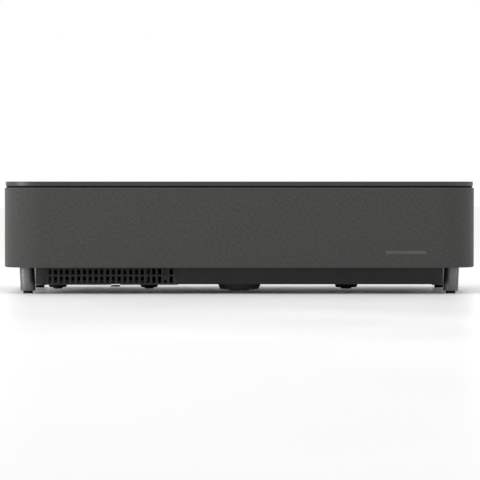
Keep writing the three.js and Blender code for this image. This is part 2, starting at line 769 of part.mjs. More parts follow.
function phosphorWheel() {
  return join(
    rod(WHEEL_RADIUS, 1.4, "x", [WHEEL_X, WHEEL_Y, AXIS_Z], 32),
    rod(7, 8, "x", [WHEEL_X + 4, WHEEL_Y, AXIS_Z], 20),
  );
}

// The laser module: a finned block bolted to the engine's end.
function laserModule() {
  const left = ENGINE_RIGHT + 2;
  const body = block([left, LASER_RIGHT], [LASER_FRONT, ENGINE_REAR], [LASER_BOTTOM, LASER_TOP]);
  const grooves = [];
  for (let i = 0; i < 7; i += 1) {
    const x = left + 10 + i * 11;
    grooves.push(block([x, x + 5], [LASER_FRONT - 1, ENGINE_REAR + 1], [LASER_TOP - 12, LASER_TOP + 1]));
  }
  return cut(body, ...grooves);
}

function lensBarrel() {
  const length = ENGINE_FRONT - GAP - LENS_FRONT;
  const step = 34;
  const tube = join(
    rod(LENS_OUTER, length, "y", [0, LENS_FRONT + length / 2, AXIS_Z], 36),
    rod(LENS_OUTER + 5, step, "y", [0, ENGINE_FRONT - GAP - step / 2, AXIS_Z], 36),
  );
  return cut(tube, rod(LENS_INNER, length + 20, "y", [0, LENS_FRONT + length / 2, AXIS_Z], 36));
}

// The sliding lens group: a short cell with its front glass domed forward.
function focusCell() {
  const radius = LENS_INNER - GAP;
  const cell = turned(
    [
      [0, 0],
      [radius, 0],
      [radius, CELL_LENGTH],
      [radius - 4, CELL_LENGTH],
      [radius - 8, CELL_LENGTH + 3],
      [radius - 16, CELL_LENGTH + 5],
      [0, CELL_LENGTH + 6],
    ],
    [0, 0, 0],
    32,
  );
  return cell.rotateX(Math.PI / 2).translate(0, LENS_FRONT + 10 + CELL_LENGTH, AXIS_Z);
}

function focusRing() {
  const body = join(
    rod(RING_OUTER, RING_WIDTH, "y", [0, RING_Y, AXIS_Z], 36),
    block([-1.6, 1.6], [RING_Y - 4, RING_Y + 4], [AXIS_Z - RING_ARM, AXIS_Z - RING_OUTER + 3]),
  );
  return cut(body, rod(LENS_OUTER + GAP, RING_WIDTH * 2, "y", [0, RING_Y, AXIS_Z], 36));
}

// A bent link from the knob in the filter bay to a fork that holds the ring's arm.
function focusLever() {
  const knobX = DRAWER_RIGHT - 18;
  const knobFront = BASE_FRONT + DRAWER_THICK + 3;
  const fork = AXIS_Z - RING_ARM - 2.5;
  const bar = [fork + 2, fork + 6];
  return cut(
    join(
      block([knobX - 4, knobX + 4], [knobFront, knobFront + 10], [BASE_FLOOR + 3, bar[1] + 2]),
      block([knobX - 2, knobX + 2], [knobFront + 5, RING_Y + 2], bar),
      block([knobX - 2, 7], [RING_Y - 2, RING_Y + 2], bar),
      block([-8, 8], [RING_Y - 7, RING_Y + 7], [fork, bar[1] + 3]),
    ),
    block([-2.8, 2.8], [RING_Y - 8, RING_Y + 8], [fork + 2, bar[1] + 4]),
  );
}

// A block whose rear face is hollowed to a shallow bowl.
function concaveMirror() {
  const bowl = 150;
  const block0 = block([-MIRROR_SIDE, MIRROR_SIDE], [MIRROR_FRONT, MIRROR_REAR], [MIRROR_BOTTOM, MIRROR_TOP]);
  const centre = [0, MIRROR_REAR + bowl - 26, (MIRROR_BOTTOM + MIRROR_TOP) / 2];
  return cut(block0, new THREE.SphereGeometry(bowl, 48, 32).translate(...centre));
}

// Level fins on an upright plate, so that air passes between them towards the fans.
function heatSink() {
  const front = FAN_YS[1] - FAN_SIZE / 2;
  const bottom = SINK_BOTTOM;
  const shape = new THREE.Shape();
  shape.moveTo(SINK_LEFT, bottom);
  for (let fin = 0; fin < FINS; fin += 1) {
    const z = bottom + FIN_PITCH * fin;
    shape.lineTo(SINK_RIGHT, z);
    shape.lineTo(SINK_RIGHT, z + FIN_THICK);
    shape.lineTo(SINK_LEFT + 6, z + FIN_THICK);
    if (fin < FINS - 1) shape.lineTo(SINK_LEFT + 6, z + FIN_PITCH);
  }
  shape.lineTo(SINK_LEFT, bottom + FIN_PITCH * (FINS - 1) + FIN_THICK);
  const depth = ENGINE_REAR - front;
  const made = new THREE.ExtrudeGeometry(shape, { depth, bevelEnabled: false });
  return made.rotateX(Math.PI / 2).translate(0, front + depth, 0);
}

function fanFrame(y) {
  const half = FAN_SIZE / 2;
  const frame = cut(
    block([FAN_X - FAN_THICK / 2, FAN_X + FAN_THICK / 2], [y - half, y + half], [FAN_Z - half, FAN_Z + half]),
    rod(FAN_BORE, FAN_THICK + 2, "x", [FAN_X, y, FAN_Z], 36),
  );
  const backX = FAN_X - FAN_THICK / 2 + 1.5;
  const strut = (turn) =>
    new THREE.BoxGeometry(3, 4, FAN_BORE * 2 + 2).rotateX(turn).translate(backX, y, FAN_Z);
  return join(frame, rod(FAN_HUB, 3, "x", [backX, y, FAN_Z], 24), strut(Math.PI / 4), strut(-Math.PI / 4));
}

function fanRotor(y) {
  const blades = 7;
  const reach = FAN_BORE - 1.2;
  const pieces = [rod(FAN_HUB, FAN_THICK - 6, "x", [0, 0, 0], 24)];
  for (let i = 0; i < blades; i += 1) {
    const blade = new THREE.BoxGeometry(15, 1.6, reach - FAN_HUB + 4);
    blade.rotateZ(0.75).translate(0, 0, (reach + FAN_HUB - 4) / 2);
    pieces.push(blade.rotateX((i * 2 * Math.PI) / blades));
  }
  const made = common(join(...pieces), rod(reach, 18, "x", [0, 0, 0], 36));
  return made.translate(FAN_X + 1.5, y, FAN_Z);
}

// A volute with an inlet eye on top and an outlet towards the rear.
function blowerCase() {
  const r = BLOWER_RADIUS + 5;
  const z = [BLOWER_Z, BLOWER_Z + BLOWER_HEIGHT];
  const centre = [BLOWER_X, BLOWER_Y, BLOWER_Z + BLOWER_HEIGHT / 2];
  const outer = join(
    rod(r, BLOWER_HEIGHT, "z", centre, 36),
    block([BLOWER_X, BLOWER_X + r], [BLOWER_Y, BLOWER_Y + r + 12], z),
  );
  const inner = join(
    rod(BLOWER_RADIUS + 2.5, BLOWER_HEIGHT - 5, "z", centre, 36),
    block(
      [BLOWER_X + 2.5, BLOWER_X + BLOWER_RADIUS + 2.5],
      [BLOWER_Y, BLOWER_Y + r + 20],
      [z[0] + 2.5, z[1] - 2.5],
    ),
  );
  return cut(outer, inner, rod(24, 20, "z", [BLOWER_X, BLOWER_Y, z[1]], 28));
}

function blowerWheel() {
  const blades = 16;
  const height = BLOWER_HEIGHT - 10;
  const pieces = [
    turned(
      [
        [0, 0],
        [BLOWER_RADIUS, 0],
        [BLOWER_RADIUS, 1.5],
        [12, 1.5],
        [10, 12],
        [0, 12],
      ],
      [0, 0, 0],
      32,
    ),
  ];
  for (let i = 0; i < blades; i += 1) {
    const blade = new THREE.BoxGeometry(11, 1.2, height - 1);
    blade.rotateZ(0.5).translate(BLOWER_RADIUS - 6.5, 0, height / 2 + 0.5);
    pieces.push(blade.rotateZ((i * 2 * Math.PI) / blades));
  }
  const trimmed = common(join(...pieces), rod(BLOWER_RADIUS, height * 4, "z", [0, 0, 0], 32));
  return trimmed.translate(BLOWER_X, BLOWER_Y, BLOWER_Z + 5);
}

// A printed board with its tall components, given as [x, y, width, depth, height].
function board({ x, y, z }, components) {
  const plate = block(x, y, [z, z + BOARD_THICK]);
  const tall = components.map(([left, front, w, d, h]) =>
    block(
      [x[0] + left, x[0] + left + w],
      [y[0] + front, y[0] + front + d],
      [z + BOARD_THICK / 2, z + BOARD_THICK + h],
    ),
  );
  return join(plate, ...tall);
}


const mainBoardParts = [
  [12, 14, 30, 30, 6],
  [52, 12, 18, 18, 4],
  [80, 16, 26, 12, 9],
  [12, 56, 40, 14, 5],
  [62, 50, 14, 14, 10],
  [90, 48, 34, 22, 4],
  [134, 20, 12, 40, 7],
];

const powerBoardParts = [
  [14, 12, 42, 36, 34],
  [72, 14, 30, 30, 28],
  [118, 10, 12, 50, 30],
  [146, 12, 24, 24, 32],
  [184, 12, 24, 24, 32],
  [222, 14, 46, 34, 26],
  [284, 12, 12, 50, 30],
  [310, 16, 30, 30, 22],
];

// A closed box with a round hole for its driver in the front.
function speakerBox(sx) {
  const x = [BOX_OUT - BOX_WIDTH, BOX_OUT];
  const y = [BOX_FRONT, BOX_FRONT + BOX_DEPTH];
  const z = [BOX_BOTTOM, BOX_TOP];
  const made = cut(
    block(x, y, z),
    block(shrink(x, BOX_WALL), shrink(y, BOX_WALL), shrink(z, BOX_WALL)),
    rod(WOOFER_RADIUS - 4, 20, "y", [WOOFER_X, BOX_FRONT, WOOFER_Z], 32),
  );
  return sx > 0 ? made : mirrored(made);
}

// The driver's flange, basket and magnet, turned about Y with its mouth forward.
function wooferBasket(sx) {
  const rim = WOOFER_RADIUS - 4 - GAP;
  const made = turned(
    [
      [0, -40],
      [24, -40],
      [24, -24],
      [rim, -6],
      [rim, 0],
      [WOOFER_RADIUS, 0],
      [WOOFER_RADIUS, 2],
      [rim - 2, 2],
      [rim - 2, -5],
      [12, -19],
      [0, -19],
    ],
    [0, 0, 0],
    32,
  );
  return made.rotateX(Math.PI / 2).translate(sx * WOOFER_X, BOX_FRONT - GAP, WOOFER_Z);
}

function wooferCone(sx) {
  const rim = WOOFER_RADIUS - 8;
  const made = turned(
    [
      [0, -12],
      [9, -12],
      [rim, -0.6],
      [rim, 0.6],
      [9, -10],
      [6, -7.5],
      [0, -6.5],
    ],
    [0, 0, 0],
    32,
  );
  return made.rotateX(Math.PI / 2).translate(sx * WOOFER_X, BOX_FRONT - GAP, WOOFER_Z);
}

// The recessed rear panel with its signal sockets.
function terminalTray() {
  const rim = 6;
  const flangeY = [REAR - WALL - GAP - 2.3, REAR - WALL - GAP];
  const x = [TRAY_LEFT + 2, TRAY_RIGHT - 2];
  const z = [TRAY_BOTTOM + 2, TRAY_TOP - 2];
  const body = join(
    block([TRAY_LEFT - rim, TRAY_RIGHT + rim], flangeY, [TRAY_BOTTOM - rim, TRAY_TOP + rim]),
    block(shrink(x, -2), [TRAY_FACE_Y - 2.5, flangeY[1]], shrink(z, -2)),
  );
  const wells = SOCKETS.map(({ x: sx, z: sz, w, h }) =>
    block(
      [TRAY_LEFT + sx - w / 2 - 1.5, TRAY_LEFT + sx + w / 2 + 1.5],
      [TRAY_FACE_Y - SOCKET_DEPTH - 1.5, TRAY_FACE_Y - 2],
      [sz - h / 2 - 1.5, sz + h / 2 + 1.5],
    ),
  );
  const mouths = SOCKETS.map(({ x: sx, z: sz, w, h }) =>
    block(
      [TRAY_LEFT + sx - w / 2, TRAY_LEFT + sx + w / 2],
      [TRAY_FACE_Y - SOCKET_DEPTH, TRAY_FACE_Y + 1],
      [sz - h / 2, sz + h / 2],
    ),
  );
  const inlet = block(
    [INLET_X - INLET_WIDTH / 2 - GAP, INLET_X + INLET_WIDTH / 2 + GAP],
    [TRAY_FACE_Y - 20, TRAY_FACE_Y + 1],
    [INLET_Z - INLET_HEIGHT / 2 - GAP, INLET_Z + INLET_HEIGHT / 2 + GAP],
  );
  return cut(join(body, ...wells), block(x, [TRAY_FACE_Y, REAR], z), ...mouths, inlet);
}

// The mains inlet: a moulded cup with three flat pins.
function mainsInlet() {
  const back = TRAY_FACE_Y - INLET_DEPTH;
  const half = [INLET_WIDTH / 2, INLET_HEIGHT / 2];
  const cup = cut(
    block(
      [INLET_X - half[0], INLET_X + half[0]],
      [back, TRAY_FACE_Y + 1],
      [INLET_Z - half[1], INLET_Z + half[1]],
    ),
    block(
      [INLET_X - half[0] + 1.7, INLET_X + half[0] - 1.7],
      [back + 2.5, TRAY_FACE_Y + 2],
      [INLET_Z - half[1] + 2, INLET_Z + half[1] - 2],
    ),
  );
  const pins = [-7, 0, 7].map((x) =>
    block([INLET_X + x - 1, INLET_X + x + 1], [back + 1, TRAY_FACE_Y - 2], [INLET_Z - 2, INLET_Z + 2]),
  );
  return join(cup, ...pins);
}

// A short push button with a wider foot below the cover.
function powerButton() {
  return turned(
    [
      [0, 0],
      [BUTTON_RADIUS + 1.5, 0],
      [BUTTON_RADIUS + 1.5, 1.5],
      [BUTTON_RADIUS, 1.5],
      [BUTTON_RADIUS, COVER_THICK + 2.6],
      [BUTTON_RADIUS - 0.4, COVER_THICK + 3],
      [0, COVER_THICK + 3],
    ],
    [BUTTON_X, BUTTON_Y, COVER_BOTTOM - 3.5],
  );
}

// A plain plate let into the cloth near the lower right corner, grown by a margin for its pocket.
function badge(margin = 0) {
  const { x, z, w, h, proud } = BADGE;
  const half = { w: w / 2 + margin, h: h / 2 + margin };
  const plate = roundedRect([x - half.w, x + half.w], [z - half.h, z + half.h], half.h);
  const depth = CLOTH + proud + margin * 4;
  const made = new THREE.ExtrudeGeometry(plate, { depth, bevelEnabled: false, curveSegments: 4 });
  return made.rotateX(Math.PI / 2).translate(0, FRONT - proud - margin * 2 + depth, 0);
}

// ---------------------------------------------------------------- assembly

add("top_cover", topCover(), materials.cover);
add("window_well", windowWell(), materials.black);
add("window_glass", windowGlass(), materials.glass);
add("upper_case", upperCase(), materials.case);
add("side_vent_left", sideVent(-1), materials.case);
add("side_vent_right", sideVent(1), materials.case);
add("lower_case", lowerCase(), materials.base);
add("grille_frame", grilleFrame(), materials.black);
add("grille_cloth", grilleCloth(), materials.cloth);
add("badge_plate", badge(), materials.aluminium);
LOW_FEET.forEach((foot) => add(foot.name, lowFootPad(foot), materials.rubber));

add("filter_cover", filterCover(), materials.base);
add("filter_frame", filterFrame(), materials.black);
add("filter_media", filterMedia(), materials.filter);
add("filter_latch", filterLatch(), materials.base);

legPlaces().forEach(({ name, sx, y }) => {
  add(`leg_${name}`, leg(sx, y), materials.legMetal);
  add(`leg_pad_${name}`, legPad(sx, y), materials.rubber);
  add(`leg_stud_${name}`, legStud(sx, y), materials.steel);
});

add("power_button", powerButton(), materials.black);
add("terminal_tray", terminalTray(), materials.black);
add("mains_inlet", mainsInlet(), materials.black);

add("optics_case", opticsCase(), materials.aluminium);
add("prism_cube", cube(PRISM, [0, PRISM_Y, AXIS_Z]), materials.glass);
add("lcd_panel_red", lcdPanel("x", -PANEL_OFFSET), materials.black);
add("lcd_panel_blue", lcdPanel("x", PANEL_OFFSET), materials.black);
add("lcd_panel_green", lcdPanel("y", PANEL_OFFSET), materials.black);
add("phosphor_wheel", phosphorWheel(), materials.steel);
add("laser_module", laserModule(), materials.aluminium);
add("lens_barrel", lensBarrel(), materials.black);
add("focus_cell", focusCell(), materials.glass);
add("focus_ring", focusRing(), materials.black);
add("focus_lever", focusLever(), materials.black);
add("concave_mirror", concaveMirror(), materials.mirror);

add("heat_sink", heatSink(), materials.aluminium);
["rear", "front"].forEach((place, i) => {
  add(`exhaust_fan_frame_${place}`, fanFrame(FAN_YS[i]), materials.black);
  add(`exhaust_fan_rotor_${place}`, fanRotor(FAN_YS[i]), materials.black);
});
add("blower_case", blowerCase(), materials.black);
add("blower_wheel", blowerWheel(), materials.black);

add("main_board", board(mainBoard, mainBoardParts), materials.board);
add("power_board", board(powerBoard, powerBoardParts), materials.board);
[["left", -1], ["right", 1]].forEach(([side, sx]) => {
  add(`speaker_box_${side}`, speakerBox(sx), materials.black);
  add(`woofer_${side}`, wooferBasket(sx), materials.steel);
  add(`woofer_cone_${side}`, wooferCone(sx), materials.cone);
});

export default model;
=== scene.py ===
# %% [markdown]
# # A cloth fronted home projector
#
# The real thing is a low, wide box: a loudspeaker cloth wraps the front, a flat lid covers the
# top round a sunken window, and a narrower black tray stands on four turned legs. The shape, the
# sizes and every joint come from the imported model, so this lesson is about finish: soft edges,
# real surfaces, and the small parts that only the eye needs.

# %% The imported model
import json
import math

import bmesh
import bpy
from mathutils import Matrix, Vector


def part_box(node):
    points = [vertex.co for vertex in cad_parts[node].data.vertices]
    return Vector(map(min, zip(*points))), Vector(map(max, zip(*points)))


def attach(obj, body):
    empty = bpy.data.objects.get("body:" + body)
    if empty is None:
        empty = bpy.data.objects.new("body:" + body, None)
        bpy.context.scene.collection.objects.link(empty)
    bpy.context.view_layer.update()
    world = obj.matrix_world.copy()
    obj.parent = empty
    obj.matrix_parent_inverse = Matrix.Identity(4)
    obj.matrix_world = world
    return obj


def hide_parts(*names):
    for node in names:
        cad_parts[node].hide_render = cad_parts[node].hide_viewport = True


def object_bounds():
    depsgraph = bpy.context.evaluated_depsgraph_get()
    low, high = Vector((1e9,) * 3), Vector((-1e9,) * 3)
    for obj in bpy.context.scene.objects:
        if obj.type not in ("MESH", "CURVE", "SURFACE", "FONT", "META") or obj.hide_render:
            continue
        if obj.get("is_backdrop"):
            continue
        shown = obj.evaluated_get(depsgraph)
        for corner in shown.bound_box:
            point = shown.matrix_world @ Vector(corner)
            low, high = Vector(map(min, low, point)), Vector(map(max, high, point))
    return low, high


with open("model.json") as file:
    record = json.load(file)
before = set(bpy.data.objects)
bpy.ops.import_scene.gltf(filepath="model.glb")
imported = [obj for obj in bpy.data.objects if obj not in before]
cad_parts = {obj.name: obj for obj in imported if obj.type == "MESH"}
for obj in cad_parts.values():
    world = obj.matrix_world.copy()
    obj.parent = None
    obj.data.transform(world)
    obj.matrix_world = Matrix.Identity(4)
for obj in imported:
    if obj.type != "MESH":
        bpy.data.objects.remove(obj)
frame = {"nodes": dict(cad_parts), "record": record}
CAD_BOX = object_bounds()
MM = 0.001
WHOLE = [Vector(corner) for corner in CAD_BOX]
print("the whole object, in metres:", [round(v, 3) for v in WHOLE[1] - WHOLE[0]])

# %% [markdown]
# ## Where things are
#
# Most places below are read from the model's own boxes, so that a changed model carries its
# finish along: the cloth's box gives the front, the cover's box gives the lid, and so on. Radii,
# and the places of the few small fittings that the model lacks, are written here.

# %% Boxes that several pieces use


def span(node):
    low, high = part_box(node)
    return Vector(low), Vector(high)


CLOTH_LOW, CLOTH_HIGH = span("grille_cloth")
COVER_LOW, COVER_HIGH = span("top_cover")
WELL_LOW, WELL_HIGH = span("window_well")
BUTTON_LOW, BUTTON_HIGH = span("power_button")
CORNER_FRONT = 58 * MM
CORNER_REAR = 30 * MM
print("cloth from", [round(v, 4) for v in CLOTH_LOW], "to", [round(v, 4) for v in CLOTH_HIGH])

# %% [markdown]
# ## Surfaces
#
# Nearly everything here is a moulding or a metal turning, and what the eye reads is the grain: a
# fine spark eroded texture on the cases, a softer one on the lid, brushed rings on the legs. Each
# finish is a small node tree on Object coordinates, so one metre in the tree is one metre on the
# piece, and grain sizes are simply written in millimetres.

# %% A helper that starts a material


class Finish:
    """A material with its Principled shader, and short calls for the nodes that feed it."""

    def __init__(self, name, colour, roughness, metallic=0.0):
        self.material = bpy.data.materials.new(name)
        self.material.use_nodes = True
        self.tree = self.material.node_tree
        self.shader = self.tree.nodes["Principled BSDF"]
        self.shader.inputs["Base Color"].default_value = (*colour, 1)
        self.shader.inputs["Roughness"].default_value = roughness
        self.shader.inputs["Metallic"].default_value = metallic
        self.material.diffuse_color = (*colour, 1)
        self.place = self.node("ShaderNodeTexCoord").outputs["Object"]

    def node(self, kind, **settings):
        made = self.tree.nodes.new(kind)
        for key, value in settings.items():
            setattr(made, key, value)
        return made

    def link(self, source, target):
        self.tree.links.new(source, target)

    def noise(self, size_mm, detail=3.0, stretch=(1, 1, 1), place=None):
        """Grey noise whose blotches are about size_mm across."""
        mapping = self.node("ShaderNodeMapping")
        mapping.inputs["Scale"].default_value = stretch
        self.link(place or self.place, mapping.inputs["Vector"])
        noise = self.node("ShaderNodeTexNoise")
        noise.inputs["Scale"].default_value = 1000 / size_mm
        noise.inputs["Detail"].default_value = detail
        self.link(mapping.outputs["Vector"], noise.inputs["Vector"])
        return noise.outputs["Fac"]

    def remap(self, value, low, high, source=(0.3, 0.7)):
        """The same value, stretched from one span to another."""
        node = self.node("ShaderNodeMapRange")
        node.inputs["From Min"].default_value = source[0]
        node.inputs["From Max"].default_value = source[1]
        node.inputs["To Min"].default_value = low
        node.inputs["To Max"].default_value = high
        self.link(value, node.inputs["Value"])
        return node.outputs["Result"]

    def two_tone(self, value, dark, light):
        """A colour between two, by a value from 0 to 1, into the shader."""
        mix = self.node("ShaderNodeMix", data_type="RGBA")
        mix.inputs["A"].default_value = (*dark, 1)
        mix.inputs["B"].default_value = (*light, 1)
        self.link(value, mix.inputs["Factor"])
        self.link(mix.outputs["Result"], self.shader.inputs["Base Color"])

    def rough(self, value, low, high):
        self.link(self.remap(value, low, high), self.shader.inputs["Roughness"])

    def bump(self, height, depth_mm, strength=1.0):
        """Relief about depth_mm deep. A second call lies on top of the first."""
        node = self.node("ShaderNodeBump")
        node.inputs["Strength"].default_value = strength
        node.inputs["Distance"].default_value = depth_mm * MM
        self.link(height, node.inputs["Height"])
        before = self.shader.inputs["Normal"].links
        if before:
            self.link(before[0].from_socket, node.inputs["Normal"])
        self.link(node.outputs["Normal"], self.shader.inputs["Normal"])


def shade(colour, by):
    return tuple(min(1.0, c * by) for c in colour)


# %% Moulded plastics and rubber


def moulded(name, colour, roughness, grain_mm=0.5, relief_mm=0.02, spread=0.08, gloss=0.5):
    """Plastic with a spark eroded grain, a slow drift of tone, and an uneven gloss."""
    made = Finish(name, colour, roughness)
    drift = made.remap(made.noise(90, 2), 0, 1)
    made.two_tone(drift, shade(colour, 1 - spread), shade(colour, 1 + spread))
    made.rough(made.noise(35, 4), roughness - 0.05, roughness + 0.06)
    made.bump(made.noise(grain_mm, 4), relief_mm)
    made.shader.inputs["Specular IOR Level"].default_value = gloss
    return made.material


LID = moulded(
    "lid_satin", (0.020, 0.020, 0.020), 0.44, grain_mm=0.7, relief_mm=0.012, spread=0.03
)
CASE = moulded(
    "case_plastic", (0.024, 0.024, 0.025), 0.5, grain_mm=0.8, relief_mm=0.03, spread=0.03
)
BASE = moulded(
    "base_plastic", (0.008, 0.008, 0.0084), 0.6, grain_mm=0.8, relief_mm=0.03, gloss=0.36
)
BLACK = moulded("black_moulding", (0.008, 0.008, 0.009), 0.45, grain_mm=0.6, relief_mm=0.02)
WELL = moulded("well_black", (0.006, 0.006, 0.0065), 0.62, grain_mm=1.0, relief_mm=0.05)
# painted shade: the filter frame is darker than the other black mouldings, so the vent slots in
# front of it read as shaded holes
SLOT_SHADE_BLACK = moulded("filter_bay_shade_black", (0.0022, 0.0022, 0.0024), 0.7, grain_mm=0.8, relief_mm=0.03)
ROTOR = moulded("rotor_black", (0.012, 0.012, 0.013), 0.35, grain_mm=1.5, relief_mm=0.01)
RUBBER = moulded("foot_rubber", (0.004, 0.004, 0.0045), 0.85, 0.6, 0.05, spread=0.2, gloss=0.12)
print(len(bpy.data.materials), "plastics and rubbers")

# %% [markdown]
# ## Metals
#
# The legs are turned bars with a graphite coat: a lathe leaves rings round them, so their grain
# is stretched flat. Castings are pebbly, extruded fins are drawn along their length, and plated
# screws are nearly clean.

# %% Metals


def metal(name, colour, roughness, stretch=(1, 1, 1), line_mm=0.6, relief_mm=0.01):
    made = Finish(name, colour, roughness, metallic=1.0)
    lines = made.noise(line_mm, 3, stretch)
    made.rough(lines, roughness - 0.07, roughness + 0.1)
    made.two_tone(made.remap(made.noise(25, 3), 0, 1), shade(colour, 0.92), shade(colour, 1.08))
    made.bump(lines, relief_mm)
    return made.material


LEG_METAL = metal("graphite_turning", (0.17, 0.17, 0.173), 0.5, stretch=(0.02, 0.02, 1))
BRIGHT = metal("bright_screw", (0.62, 0.62, 0.63), 0.28, line_mm=1.2)
CAST = metal("cast_alloy", (0.42, 0.43, 0.44), 0.5, line_mm=1.6, relief_mm=0.08)
FINS = metal("drawn_fins", (0.58, 0.59, 0.60), 0.36, stretch=(1, 0.02, 1))
COATED = metal("coated_steel", (0.05, 0.05, 0.052), 0.48, line_mm=1.0, relief_mm=0.03)
BADGE = metal("badge_satin", (0.10, 0.10, 0.099), 0.4, stretch=(0.03, 1, 1), line_mm=0.3)
MIRROR = metal("mirror_coat", (0.88, 0.90, 0.92), 0.12, line_mm=30, relief_mm=0.0005)

# %% [markdown]
# ## The loudspeaker cloth
#
# Acoustic cloth is an open plain weave of melange yarn: light and dark fibres spun together, so
# that single threads differ. The weave has to follow the cloth round the corners, so it is drawn
# in the piece's own UV map, which counts metres along the cloth, and not in space. Two crossing
# waves give the threads, a noise drawn out along each thread gives the melange, and a sheen gives
# the pale rim that fluffy fibres have.

# %% The weave


def woven(name, dark, light, pitch_mm):
    made = Finish(name, light, 0.92)
    across = made.node("ShaderNodeUVMap", uv_map="cloth").outputs["UV"]
    threads = []
    for direction in ("X", "Y"):
        wave = made.node("ShaderNodeTexWave", wave_type="BANDS", bands_direction=direction)
        wave.inputs["Scale"].default_value = 1000 * math.pi / (10 * pitch_mm)
        wave.inputs["Distortion"].default_value = 0.6
        wave.inputs["Detail Scale"].default_value = 2.0
        made.link(across, wave.inputs["Vector"])
        threads.append(wave.outputs["Fac"])
    weave = made.node("ShaderNodeMath", operation="MULTIPLY")
    made.link(threads[0], weave.inputs[0])
    made.link(threads[1], weave.inputs[1])
    warp = made.noise(1.3, 3, (1, 0.25, 1), across)
    weft = made.noise(1.3, 3, (0.25, 1, 1), across)
    slubs = made.node("ShaderNodeMath", operation="ADD")
    made.link(warp, slubs.inputs[0])
    made.link(weft, slubs.inputs[1])
    yarn = made.remap(slubs.outputs["Value"], 0.0, 1.0, source=(0.75, 1.25))
    tone = made.node("ShaderNodeMix", data_type="FLOAT")
    tone.inputs["Factor"].default_value = 0.35
    made.link(yarn, tone.inputs["A"])
    made.link(weave.outputs["Value"], tone.inputs["B"])
    made.two_tone(tone.outputs["Result"], dark, light)
    made.bump(weave.outputs["Value"], 0.2, 0.6)
    made.bump(slubs.outputs["Value"], 0.08, 0.4)
    made.shader.inputs["Sheen Weight"].default_value = 0.30
    made.shader.inputs["Sheen Roughness"].default_value = 0.35
    made.shader.inputs["Sheen Tint"].default_value = (0.8, 0.8, 0.78, 1)
    made.shader.inputs["Specular IOR Level"].default_value = 0.25
    return made.material


CLOTH = woven("speaker_cloth", (0.036, 0.036, 0.034), (0.065, 0.065, 0.062), pitch_mm=0.9)

# %% [markdown]
# ## Glass, paper, circuit boards
#
# The window over the lens is a tinted plate, so it is mostly gloss with a dark see-through body.
# The filter is a felted foam. A board is green lacquer with paler tracks under it, and what
# stands on it is black or grey, so its colour is chosen by height above the board.

# %% Clear and papery finishes


def glassy(name, colour, transmission, roughness=0.03):
    made = Finish(name, colour, roughness)
    made.shader.inputs["Transmission Weight"].default_value = transmission
    made.shader.inputs["IOR"].default_value = 1.5
    made.shader.inputs["Coat Weight"].default_value = 0.6
    made.rough(made.noise(60, 3), roughness, roughness + 0.03)
    return made.material


def felted(name, colour):
    made = Finish(name, colour, 0.95)
    fibres = made.noise(0.8, 4, (1, 0.2, 1))
    made.two_tone(made.remap(fibres, 0, 1), shade(colour, 0.8), colour)
    made.bump(fibres, 0.2)
    return made.material


def circuit(name, board_top):
    """Green lacquer with paler tracks up to the board's top, and greys for what stands on it."""
    made = Finish(name, (0.02, 0.09, 0.04), 0.4)
    height = made.node("ShaderNodeSeparateXYZ")
    made.link(made.place, height.inputs["Vector"])
    above = made.node("ShaderNodeMath", operation="GREATER_THAN")
    above.inputs[1].default_value = board_top + 0.2 * MM
    made.link(height.outputs["Z"], above.inputs[0])
    tracks = made.node("ShaderNodeTexBrick")
    tracks.inputs["Scale"].default_value = 160
    tracks.inputs["Mortar Size"].default_value = 0.08
    tracks.inputs["Color1"].default_value = (0.012, 0.075, 0.032, 1)
    tracks.inputs["Color2"].default_value = (0.018, 0.095, 0.042, 1)
    tracks.inputs["Mortar"].default_value = (0.06, 0.19, 0.09, 1)
    made.link(made.place, tracks.inputs["Vector"])
    greys = made.node("ShaderNodeMix", data_type="RGBA")
    greys.inputs["A"].default_value = (0.010, 0.010, 0.011, 1)
    greys.inputs["B"].default_value = (0.060, 0.060, 0.064, 1)
    made.link(made.remap(made.noise(45, 1), 0, 1), greys.inputs["Factor"])
    mix = made.node("ShaderNodeMix", data_type="RGBA")
    made.link(above.outputs["Value"], mix.inputs["Factor"])
    made.link(tracks.outputs["Color"], mix.inputs["A"])
    made.link(greys.outputs["Result"], mix.inputs["B"])
    made.link(mix.outputs["Result"], made.shader.inputs["Base Color"])
    return made.material


WINDOW = glassy("window_tint", (0.03, 0.035, 0.045), 0.75)
LENS = glassy("lens_coating", (0.36, 0.28, 0.50), 0.8)
PRISM = glassy("prism_glass", (0.85, 0.90, 0.92), 0.95)
# near black: partly the foam's own charcoal colour, partly painted shade so the vent slots read
# dark
FOAM = felted("filter_foam", (0.010, 0.010, 0.011))
CONE = felted("speaker_paper", (0.022, 0.022, 0.023))
PHOSPHOR = felted("phosphor_coat", (0.62, 0.55, 0.08))
BOARD_THICK = 1.6 * MM
MAIN_BOARD = circuit("main_board_lacquer", span("main_board")[0].z + BOARD_THICK)
POWER_BOARD = circuit("power_board_lacquer", span("power_board")[0].z + BOARD_THICK)

# %% [markdown]
# ## From mesh to piece
#
# A piece is a mesh that rides on one body of the model. Where it stands for a node of the model,
# that node is hidden and the piece is shown in its place. Shading is smooth across gentle turns
# and crisp across sharp ones: a chamfer then shows as the thin bright line that a real moulded
# edge has.

# %% Making a piece


def new_object(name, data):
    made = bpy.data.objects.new(name, data)
    bpy.context.scene.collection.objects.link(made)
    return made


BODIES = frame["record"]["behaviour"]["bodies"]
BODY_OF = {node: body for body, nodes in BODIES.items() for node in nodes}


def piece(name, bm, finish, like, replaces=True, smooth=30):
    """Turn a bmesh into a piece that rides with a node's body and by default replaces it."""
    mesh = bpy.data.meshes.new(name)
    bm.to_mesh(mesh)
    bm.free()
    mesh.materials.append(finish)
    mesh.shade_smooth()
    mesh.set_sharp_from_angle(angle=math.radians(smooth))
    made = new_object(name, mesh)
    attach(made, BODY_OF[like])
    if replaces:
        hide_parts(like)
    return made


# %% [markdown]
# ## Shapes with soft edges
#
# A block becomes a moulding in three moves: its upright edges are bevelled to the plan's corner
# radii, its rims to the small radius that a mould leaves, and then a plane cuts a loop just
# inside each rim, so that the large faces stay truly flat while the rim turns.

# %% Blocks, bevels and loops


